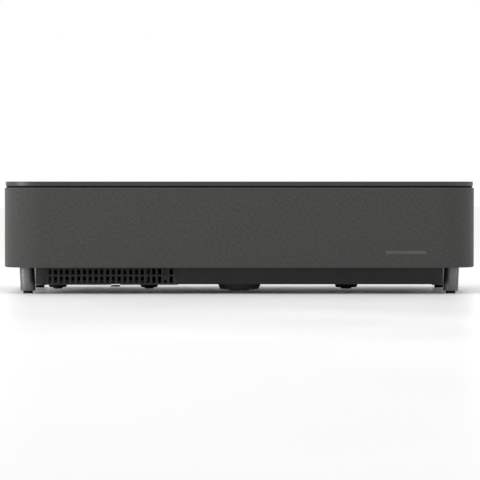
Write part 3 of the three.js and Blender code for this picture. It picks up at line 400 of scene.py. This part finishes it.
def block(low, high):
    bm = bmesh.new()
    bmesh.ops.create_cube(bm, size=1)
    bmesh.ops.scale(bm, vec=Vector(high) - Vector(low), verts=bm.verts)
    bmesh.ops.translate(bm, vec=(Vector(low) + Vector(high)) / 2, verts=bm.verts)
    return bm


def bevel(bm, edges, radius, segments):
    bmesh.ops.bevel(
        bm,
        geom=edges,
        offset=radius,
        offset_type="OFFSET",
        affect="EDGES",
        segments=segments,
        profile=0.5,
        material=-1,
        clamp_overlap=True,
    )


def middle(edge):
    return (edge.verts[0].co + edge.verts[1].co) / 2


def upright(edge):
    return abs((edge.verts[0].co - edge.verts[1].co).normalized().z) > 0.99


def rounded_block(low, high, front, rear, segments=24):
    """A block with rounded upright edges, by one radius at the front and one at the rear."""
    bm = block(low, high)
    centre = (low[1] + high[1]) / 2
    for radius, is_front in ((front, True), (rear, False)):
        edges = [e for e in bm.edges if upright(e) and (middle(e).y < centre) == is_front]
        edges = [e for e in edges if e.calc_face_angle(0) > math.radians(60)]
        bevel(bm, edges, radius, segments)
    return bm


def soften(bm, radius, segments=2, angle=50, where=lambda e: True):
    """Bevel the edges between two faces that turn by more than angle degrees."""
    sharp = math.radians(angle)
    edges = [e for e in bm.edges if len(e.link_faces) == 2 and e.calc_face_angle(0) > sharp]
    edges = [e for e in edges if where(e)]
    bevel(bm, edges, radius, segments)


def loop_at(bm, axis, *places):
    """Cut loops across the mesh with planes, leaving its shape as it is."""
    normal = Vector((0, 0, 0))
    normal["xyz".index(axis)] = 1
    for place in places:
        everything = bm.verts[:] + bm.edges[:] + bm.faces[:]
        bmesh.ops.bisect_plane(bm, geom=everything, plane_co=normal * place, plane_no=normal)


def carve(target, *tools):
    """Cut the shapes in tools out of a piece, for good."""
    for tool in tools:
        mesh = bpy.data.meshes.new("tool")
        tool.to_mesh(mesh)
        tool.free()
        cutter = new_object("tool", mesh)
        modifier = target.modifiers.new("carve", "BOOLEAN")
        modifier.operation = "DIFFERENCE"
        modifier.solver = "EXACT"
        modifier.object = cutter
        bpy.context.view_layer.update()
        shown = target.evaluated_get(bpy.context.evaluated_depsgraph_get())
        result = bpy.data.meshes.new_from_object(shown)
        target.modifiers.clear()
        old = target.data
        target.data = result
        result.name = old.name
        bpy.data.meshes.remove(old)
        bpy.data.objects.remove(cutter)


def turned(profile, centre, steps=48):
    """A lathe: (radius, height) points in millimetres, spun about an upright axis at centre."""
    bm = bmesh.new()
    ring = [bm.verts.new((r * MM, 0, h * MM)) for r, h in profile]
    edges = [bm.edges.new(pair) for pair in zip(ring, ring[1:])]
    bmesh.ops.spin(
        bm,
        geom=ring + edges,
        cent=(0, 0, 0),
        axis=(0, 0, 1),
        angle=math.tau,
        steps=steps,
        use_merge=True,
    )
    bmesh.ops.remove_doubles(bm, verts=bm.verts, dist=1e-6)
    bmesh.ops.recalc_face_normals(bm, faces=bm.faces)
    bmesh.ops.translate(bm, vec=centre, verts=bm.verts)
    return bm


def open_ends(bm, rim):
    """Leave only a rim of the faces that look straight up or down."""
    ends = [f for f in bm.faces if abs(f.normal.z) > 0.999]
    bmesh.ops.inset_individual(bm, faces=ends, thickness=rim, use_even_offset=True)
    bmesh.ops.delete(bm, geom=ends, context="FACES")


def join_flats(bm, flat):
    """Merge doubled corners, and join neighbours that turn by less than flat degrees."""
    bmesh.ops.remove_doubles(bm, verts=bm.verts, dist=2e-6)
    bmesh.ops.dissolve_limit(bm, angle_limit=math.radians(flat), verts=bm.verts, edges=bm.edges)


def add_to(bm, other):
    """Put a second shape into the first."""
    spare = bpy.data.meshes.new("spare")
    other.to_mesh(spare)
    other.free()
    bm.from_mesh(spare)
    bpy.data.meshes.remove(spare)


# %% [markdown]
# ## The cloth
#
# Such a cloth is usually glued round a moulded frame, and is taken to be here: it turns over the
# frame's top and bottom rims and ends in a hem behind them. So the mesh is a rounded block whose
# rims are bevelled, whose top and bottom keep only a narrow hem, and which stops where the frame
# stops. A weave needs to know where along the cloth it is, so the UV map counts metres round the
# corners.

# %% The cloth
HEM = 5 * MM
CLOTH_THICK = 0.9 * MM
RIM_RADIUS = 1.8 * MM
RIM_LOOP = 2.2 * MM
CASE_REAR = span("upper_case")[1].y
STRAIGHT = CLOTH_HIGH.x - CORNER_FRONT
CORNER_Y = CLOTH_LOW.y + CORNER_FRONT


def along_cloth(point):
    """How far round the front a point is, and how far in from the outline."""
    side = math.copysign(1, point.x)
    x, y = abs(point.x), point.y
    if x <= STRAIGHT:
        return point.x, y - CLOTH_LOW.y
    if y >= CORNER_Y:
        return side * (STRAIGHT + CORNER_FRONT * math.pi / 2 + y - CORNER_Y), CLOTH_HIGH.x - x
    turn = math.atan2(x - STRAIGHT, CORNER_Y - y)
    reach = math.hypot(x - STRAIGHT, CORNER_Y - y)
    return side * (STRAIGHT + CORNER_FRONT * turn), CORNER_FRONT - reach


def lay_weave(bm, uv_name):
    layer = bm.loops.layers.uv.new(uv_name)
    centre = (CLOTH_LOW.z + CLOTH_HIGH.z) / 2
    for face in bm.faces:
        for loop in face.loops:
            along, inward = along_cloth(loop.vert.co)
            over = math.copysign(max(inward, 0), loop.vert.co.z - centre)
            loop[layer].uv = (along, loop.vert.co.z + over)


def speaker_cloth():
    high = Vector((CLOTH_HIGH.x, CASE_REAR, CLOTH_HIGH.z))
    bm = rounded_block(CLOTH_LOW, high, CORNER_FRONT, CORNER_REAR, segments=28)
    soften(bm, RIM_RADIUS, 4, where=lambda e: not upright(e))
    open_ends(bm, HEM)
    everything = bm.verts[:] + bm.edges[:] + bm.faces[:]
    bmesh.ops.bisect_plane(
        bm,
        geom=everything,
        plane_co=(0, CLOTH_HIGH.y, 0),
        plane_no=(0, 1, 0),
        clear_outer=True,
    )
    loop_at(bm, "z", CLOTH_LOW.z + RIM_LOOP, CLOTH_HIGH.z - RIM_LOOP)
    loop_at(bm, "x", -STRAIGHT + 1 * MM, STRAIGHT - 1 * MM)
    bmesh.ops.recalc_face_normals(bm, faces=bm.faces)
    outside = max(bm.faces, key=lambda f: f.calc_area())
    if outside.normal.y > 0:
        bmesh.ops.reverse_faces(bm, faces=bm.faces)
    bmesh.ops.solidify(bm, geom=bm.faces[:], thickness=CLOTH_THICK)
    lay_weave(bm, "cloth")
    return piece("speaker_cloth_wrap", bm, CLOTH, "grille_cloth")


cloth = speaker_cloth()

# %% [markdown]
# ## Softening the model's own parts
#
# Many parts have the right shape already and only lack an edge. A copy of the part is merged, its
# flat triangles are joined back into faces, and every hard edge gets a small chamfer, which is
# what a mould or a deburring tool leaves and what catches the light.

# %% Soft copies


def soft_copy(node, finish, radius, segments=1, smooth=35):
    """A copy of a node of the model with its hard edges chamfered. It stands for the node."""
    bm = bmesh.new()
    bm.from_mesh(frame["nodes"][node].data)
    join_flats(bm, 1.5)
    soften(bm, radius, segments, angle=40)
    return piece("soft_" + node, bm, finish, node, smooth=smooth)


def coat(finish, *nodes):
    """Give nodes of the model a finish, with their shape left as it is."""
    for node in nodes:
        mesh = frame["nodes"][node].data
        mesh.materials.clear()
        mesh.materials.append(finish)


# %% [markdown]
# ## The lid
#
# The lid is a flat slab that floats a shadow's width above the cloth, with a long sunken window
# in its rear half. A rounded slab comes first, with the case's corner radii a little reduced. The
# window's opening and the button's bore are then cut out of it, and every edge that is left gets
# the same soft rim.

# %% The lid
LID_SET_IN = 1.5 * MM
LID_RIM = 0.9 * MM
WELL_WALL = 2.8 * MM
WINDOW_RADIUS = 10 * MM
BUTTON_BORE = 6.8


def lid():
    bm = rounded_block(
        COVER_LOW,
        COVER_HIGH,
        CORNER_FRONT - LID_SET_IN,
        CORNER_REAR - LID_SET_IN,
        segments=32,
    )
    hole = rounded_block(
        (WELL_LOW.x + WELL_WALL, WELL_LOW.y + WELL_WALL, COVER_LOW.z - 1 * MM),
        (WELL_HIGH.x - WELL_WALL, WELL_HIGH.y - WELL_WALL, COVER_HIGH.z + 1 * MM),
        WINDOW_RADIUS,
        WINDOW_RADIUS,
        segments=12,
    )
    made = piece("lid_slab", bm, LID, "top_cover")
    profile = [(0, -20), (BUTTON_BORE, -20), (BUTTON_BORE, 20), (0, 20)]
    carve(made, hole, turned(profile, (BUTTON_LOW + BUTTON_HIGH) / 2))
    return made


def chamfer_all(made, radius, segments, smooth):
    """Bevel the hard edges that carving left, and shade again."""
    bm = bmesh.new()
    bm.from_mesh(made.data)
    join_flats(bm, 0.5)
    soften(bm, radius, segments, angle=40)
    bm.to_mesh(made.data)
    bm.free()
    made.data.shade_smooth()
    made.data.set_sharp_from_angle(angle=math.radians(smooth))


cover = lid()
chamfer_all(cover, LID_RIM, segments=3, smooth=12)
print("lid", len(cover.data.polygons), "faces")

# %% [markdown]
# ## The shadow line
#
# Between cloth and lid runs a dark line all the way round. A black foam gasket is guessed to fill
# it, set back a little from the edge, so that no light comes through at the corners. Its black is
# partly painted shade: it stands in for the shadow that fills the gap.

# %% The gasket under the lid
GASKET_BACK = 2.6 * MM
GASKET_WIDE = 3.2 * MM
GASKET_PLAY = 0.05 * MM


# painted shade: this black ring stands in for the shadow in the gap between cloth and lid
def shadow_gasket():
    back = GASKET_BACK
    low = Vector((CLOTH_LOW.x + back, CLOTH_LOW.y + back, CLOTH_HIGH.z + GASKET_PLAY))
    high = Vector((CLOTH_HIGH.x - back, WHOLE[1].y - back, COVER_LOW.z - GASKET_PLAY))
    bm = rounded_block(low, high, CORNER_FRONT - back, CORNER_REAR - back)
    open_ends(bm, GASKET_WIDE)
    open_edges = [e for e in bm.edges if len(e.link_faces) == 1]
    bmesh.ops.bridge_loops(bm, edges=open_edges)
    bmesh.ops.recalc_face_normals(bm, faces=bm.faces)
    return piece("lid_shadow_gasket", bm, RUBBER, "upper_case", replaces=False)


shadow_gasket()
print("shadow_gasket", round((COVER_LOW.z - CLOTH_HIGH.z) / MM, 1), "mm high")

# %% [markdown]
# ## Case, base and window
#
# The rear case, the black tray under it, the window well and the vents keep the model's shape.
# Their front edges are close together, so the chamfers are half a millimetre at most.

# %% Case, base, well and glass
for node in ("upper_case", "side_vent_left", "side_vent_right"):
    soft_copy(node, CASE, 0.4 * MM)
for node in ("lower_case", "filter_cover"):
    soft_copy(node, BASE, 0.3 * MM)
soft_copy("filter_latch", BASE, 0.15 * MM)
soft_copy("window_well", WELL, 0.5 * MM)
soft_copy("window_glass", WINDOW, 0.4 * MM)
soft_copy("terminal_tray", BLACK, 0.4 * MM)
soft_copy("mains_inlet", BLACK, 0.3 * MM)
soft_copy("grille_frame", BLACK, 0.3 * MM)
soft_copy("badge_plate", BADGE, 0.12 * MM)
print("cases softened")

# %% [markdown]
# ## Legs and feet
#
# Each leg is a bar on a lathe: a profile spun round its axis, then sheared a little, because the
# legs lean out towards the top. The levelling foot under it is a rubber pad on a threaded stud,
# and the thread is a small triangle swept along a helix.

# %% Legs, pads and threads
LEGS = ["front_left", "front_right", "rear_left", "rear_right"]
LEG_RADIUS = 11
PEG_RADIUS = 4.0
STUD_BORE = 4.3
STUD_BORE_TOP = 26.4
SHOULDER_GAP = 0.3 * MM
THREAD_PITCH = 1.25
THREAD_DEEP = 0.7
THREAD_STEPS = 20


def foot_centre(leg):
    low, high = span("leg_pad_" + leg)
    return Vector(((low.x + high.x) / 2, (low.y + high.y) / 2, low.z))


def turned_leg(leg):
    low, high = span("leg_" + leg)
    shoulder = span("upper_case")[0].z - SHOULDER_GAP
    foot = foot_centre(leg)
    out = math.copysign(1, foot.x)
    tall, top = (shoulder - low.z) / MM, (high.z - low.z) / MM
    profile = [
        (0, STUD_BORE_TOP),
        (STUD_BORE, STUD_BORE_TOP),
        (STUD_BORE, 0.4),
        (STUD_BORE + 0.5, 0),
        (LEG_RADIUS - 0.7, 0),
        (LEG_RADIUS - 0.2, 0.25),
        (LEG_RADIUS, 0.8),
        (LEG_RADIUS, tall - 0.7),
        (LEG_RADIUS - 0.6, tall),
        (PEG_RADIUS, tall),
        (PEG_RADIUS, top - 0.4),
        (PEG_RADIUS - 0.4, top),
        (0, top),
    ]
    bm = turned(profile, Vector((foot.x, foot.y, low.z)), steps=64)
    lean = (max(abs(low.x), abs(high.x)) - abs(foot.x)) - LEG_RADIUS * MM
    for vert in bm.verts:
        vert.co.x += out * lean * (vert.co.z - low.z) / (high.z - low.z)
    return piece("turned_leg_" + leg, bm, LEG_METAL, "leg_" + leg)


def rubber_pad(leg):
    low, high = span("leg_pad_" + leg)
    radius, tall = (high.x - low.x) / 2 / MM, (high.z - low.z) / MM
    profile = [(0, 0.25), (2.2, 0.25), (2.5, 0), (3.9, 0), (4.2, 0.35), (4.8, 0.35), (5.1, 0)]
    profile += [(radius - 0.9, 0), (radius - 0.25, 0.25), (radius, 0.9), (radius, tall - 0.4)]
    profile += [(radius - 0.4, tall), (0, tall)]
    bm = turned(profile, foot_centre(leg), steps=48)
    return piece("rubber_pad_" + leg, bm, RUBBER, "leg_pad_" + leg)


def threaded_stud(leg):
    low, high = span("leg_stud_" + leg)
    foot = foot_centre(leg)
    radius, tall = (high.x - low.x) / 2 / MM, (high.z - low.z) / MM
    core = radius - THREAD_DEEP
    profile = [(0, 0), (core, 0), (core, tall - 0.6), (core - 0.5, tall), (0, tall)]
    bm = turned(profile, Vector((foot.x, foot.y, low.z)), steps=32)
    turns = int((tall - 3) / THREAD_PITCH)
    thread = bmesh.new()
    section = [(core - 0.1, -0.5), (radius, 0), (core - 0.1, 0.5)]
    verts = [thread.verts.new((r * MM, 0, (h + 1.5) * MM)) for r, h in section]
    face = thread.faces.new(verts)
    bmesh.ops.spin(
        thread,
        geom=[face],
        cent=(0, 0, 0),
        axis=(0, 0, 1),
        dvec=(0, 0, THREAD_PITCH * MM / THREAD_STEPS),
        angle=math.tau * turns,
        steps=THREAD_STEPS * turns,
    )
    bmesh.ops.recalc_face_normals(thread, faces=thread.faces)
    bmesh.ops.translate(thread, vec=(foot.x, foot.y, low.z), verts=thread.verts)
    add_to(bm, thread)
    return piece("threaded_stud_" + leg, bm, BRIGHT, "leg_stud_" + leg, smooth=50)


for leg in LEGS:
    turned_leg(leg)
    rubber_pad(leg)
    threaded_stud(leg)
for place in ("left", "inner", "centre", "right"):
    soft_copy("low_foot_" + place, BLACK, 0.6 * MM, segments=2)
soft_copy("power_button", BLACK, 0.5 * MM, segments=2, smooth=25)
print("four legs, their pads and studs, and four low feet")

# %% [markdown]
# ## Small fittings
#
# A handful of small pieces, all of them guessed, is meant to make the rear, the underside and the
# lid believable: pan head screws with a cross recess, two pilot lights beside the button, and a
# blank rating plate. A cross recess is two crossed slots cut into a screw head. The case's lowest
# point is not its underside, because feet are moulded on, so what lies on a face takes its place
# from the face itself. Two faults are known and left. The first underside screw runs into the
# side of the left low foot. The pilot lights lie 0.02 mm under the lid's surface, where they
# can't be seen.

# %% Screws
SLOT_WIDE = 0.7
SCREW_COLUMNS, SCREW_ROWS = (-262, -60, 262), (-60, 136)
REAR_SCREWS = [(-300, 128), (300, 60), (-60, 60), (120, 60)]


def screw(name, centre, facing, like, radius=3.0):
    """A pan head screw with a cross recess; facing is the way its head looks."""
    profile = [(0, -0.6), (radius, -0.6), (radius, 0.3), (radius - 0.5, 0.75), (0, 0.9)]
    made = piece(name, turned(profile, (0, 0, 0), steps=24), BRIGHT, like, replaces=False)
    for wide, deep in ((radius, SLOT_WIDE), (SLOT_WIDE, radius)):
        x, y = wide / 2 * MM, deep / 2 * MM
        carve(made, block((-x, -y, 0.2 * MM), (x, y, 2 * MM)))
    turn = Vector(facing).to_track_quat("Z", "Y").to_matrix().to_4x4()
    made.data.transform(Matrix.Translation(centre) @ turn)
    return made


def widest_face(node, axis, facing):
    """Where a node's largest flat face lies along an axis, among the faces that look that way."""
    areas = {}
    for face in frame["nodes"][node].data.polygons:
        if face.normal[axis] * facing > 0.99:
            place = round(face.center[axis], 5)
            areas[place] = areas.get(place, 0) + face.area
    return max(areas, key=areas.get)


UNDER = widest_face("lower_case", 2, -1)
UNDERSIDE = [(x * MM, y * MM) for x in SCREW_COLUMNS for y in SCREW_ROWS]
for i, (x, y) in enumerate(UNDERSIDE):
    place = Vector((x, y, UNDER - 0.2 * MM))
    screw(f"underside_screw_{i + 1}", place, (0, 0, -1), "lower_case")
REAR_FACE = widest_face("upper_case", 1, 1)
for i, (x, z) in enumerate(REAR_SCREWS):
    place = Vector((x * MM, REAR_FACE - 0.6 * MM, z * MM))
    screw(f"rear_screw_{i + 1}", place, (0, 1, 0), "upper_case", radius=2.4)
print(len(UNDERSIDE), "screws underneath, on a face", round(UNDER / MM, 2), "mm up")

# %% Pilot lights and rating plate
LIGHT_FIRST, LIGHT_STEP, LIGHT_HALF = 8, 6, 1.2 * MM
PLATE_X, PLATE_Y = (20 * MM, 90 * MM), (40 * MM, 75 * MM)


def flush_plate(name, low, high, finish, like, radius, corner):
    bm = rounded_block(Vector(low), Vector(high), radius, radius, segments=8)
    soften(bm, corner, 2, where=lambda e: not upright(e))
    return piece(name, bm, finish, like, replaces=False, smooth=15)


for i in (1, 2):
    x = (BUTTON_LOW.x + BUTTON_HIGH.x) / 2 - (LIGHT_FIRST + LIGHT_STEP * i) * MM
    at = Vector((x, (BUTTON_LOW.y + BUTTON_HIGH.y) / 2))
    low = (at.x - LIGHT_HALF, at.y - LIGHT_HALF, COVER_HIGH.z - 1 * MM)
    high = (at.x + LIGHT_HALF, at.y + LIGHT_HALF, COVER_HIGH.z - 0.02 * MM)
    flush_plate(f"pilot_light_{i}", low, high, PRISM, "top_cover", 1.1 * MM, corner=0.1 * MM)
low = (PLATE_X[0], PLATE_Y[0], UNDER - 0.25 * MM)
high = (PLATE_X[1], PLATE_Y[1], UNDER + 0.3 * MM)
flush_plate("rating_plate_blank", low, high, BADGE, "lower_case", 2 * MM, corner=0.1 * MM)
print("fittings done")

# %% [markdown]
# ## What is inside
#
# The lid and the case hide most of this at rest, but the vents, the open drawer and the window
# show some of it, so every part gets its own finish: castings, drawn fins, circuit boards, glass
# and paper.

# %% Inside finishes
INSIDE = {
    "filter_frame": SLOT_SHADE_BLACK,
    "filter_media": FOAM,
    "optics_case": CAST,
    "prism_cube": PRISM,
    "lcd_panel_red": COATED,
    "lcd_panel_blue": COATED,
    "lcd_panel_green": COATED,
    "phosphor_wheel": PHOSPHOR,
    "laser_module": CAST,
    "lens_barrel": BLACK,
    "focus_cell": LENS,
    "focus_ring": BLACK,
    "focus_lever": BLACK,
    "concave_mirror": MIRROR,
    "heat_sink": FINS,
    "exhaust_fan_frame_rear": BLACK,
    "exhaust_fan_frame_front": BLACK,
    "exhaust_fan_rotor_rear": ROTOR,
    "exhaust_fan_rotor_front": ROTOR,
    "blower_case": BLACK,
    "blower_wheel": ROTOR,
    "main_board": MAIN_BOARD,
    "power_board": POWER_BOARD,
    "speaker_box_left": BLACK,
    "speaker_box_right": BLACK,
    "woofer_left": COATED,
    "woofer_right": COATED,
    "woofer_cone_left": CONE,
    "woofer_cone_right": CONE,
}
for node, finish in INSIDE.items():
    coat(finish, node)
print(len(INSIDE), "inside parts finished")

# %% [markdown]
# ## Floor, light and camera
#
# The object stands on a pale floor with a little gloss, in a white room. A tall lamp on the left
# does the modelling, a weaker one on the right keeps the far corner readable, and a broad one
# hangs overhead. The camera is far away with a long lens and almost level, so the lid is seen
# nearly edge on.

# %% Floor


def floor():
    mesh = bpy.data.meshes.new("floor")
    bm = bmesh.new()
    bmesh.ops.create_grid(bm, x_segments=1, y_segments=1, size=20)
    bm.to_mesh(mesh)
    bm.free()
    made = new_object("floor", mesh)
    surface = Finish("pale_floor", (0.9, 0.9, 0.9), 0.12)
    surface.rough(surface.noise(400, 2), 0.28, 0.34)
    surface.shader.inputs["Specular IOR Level"].default_value = 0.12
    mesh.materials.append(surface.material)
    made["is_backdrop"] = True
    return made


floor()

# %% Light


def lamp(name, place, target, size, power):
    light = bpy.data.lights.new(name, "AREA")
    light.shape = "RECTANGLE"
    light.size, light.size_y = size
    light.energy = power
    made = new_object(name, light)
    made.location = place
    made.rotation_euler = (Vector(target) - Vector(place)).to_track_quat("-Z", "Y").to_euler()
    made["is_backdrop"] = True
    return made


world = bpy.data.worlds.new("white_room")
bpy.context.scene.world = world
world.use_nodes = True
world.node_tree.nodes["Background"].inputs["Color"].default_value = (1, 1, 1, 1)
world.node_tree.nodes["Background"].inputs["Strength"].default_value = 1.0
bpy.context.scene.view_settings.view_transform = "Standard"
centre = (WHOLE[0] + WHOLE[1]) / 2
lamp("key", (-2.2, -0.9, 0.7), centre, (0.5, 1.4), 31)
lamp("fill", (2.2, -0.9, 0.7), centre, (0.4, 1.2), 4)
lamp("overhead", (0, -0.6, 2.4), centre, (2.5, 1.5), 10)

# %% Camera
FOCAL_MM, SENSOR_MM = 205.3, 36
CAMERA_BACK, CAMERA_HEIGHT, CAMERA_ACROSS = 4.0, 0.1526, 0.001
CAMERA_DOWN = 1.047

lens = bpy.data.cameras.new("camera")
lens.sensor_width = SENSOR_MM
lens.lens = FOCAL_MM
lens.clip_end = 60
camera = new_object("camera", lens)
camera.location = (CAMERA_ACROSS, WHOLE[0].y - CAMERA_BACK, CAMERA_HEIGHT)
camera.rotation_euler = (math.radians(90 - CAMERA_DOWN), 0, 0)
bpy.context.scene.camera = camera

# %% [markdown]
# ## Sizes, and the end
#
# The difference between the model's box and the finished object's box is printed, so that anyone
# can see how much the finish grew the object: a quarter of a millimetre, where the rear screws'
# heads stand.

# %% Sizes and finish
NEW_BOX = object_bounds()
GROWN = [[round((a - b) / MM, 2) for a, b in zip(n, c)] for n, c in zip(NEW_BOX, CAD_BOX)]
print("grown by, in mm:", GROWN)
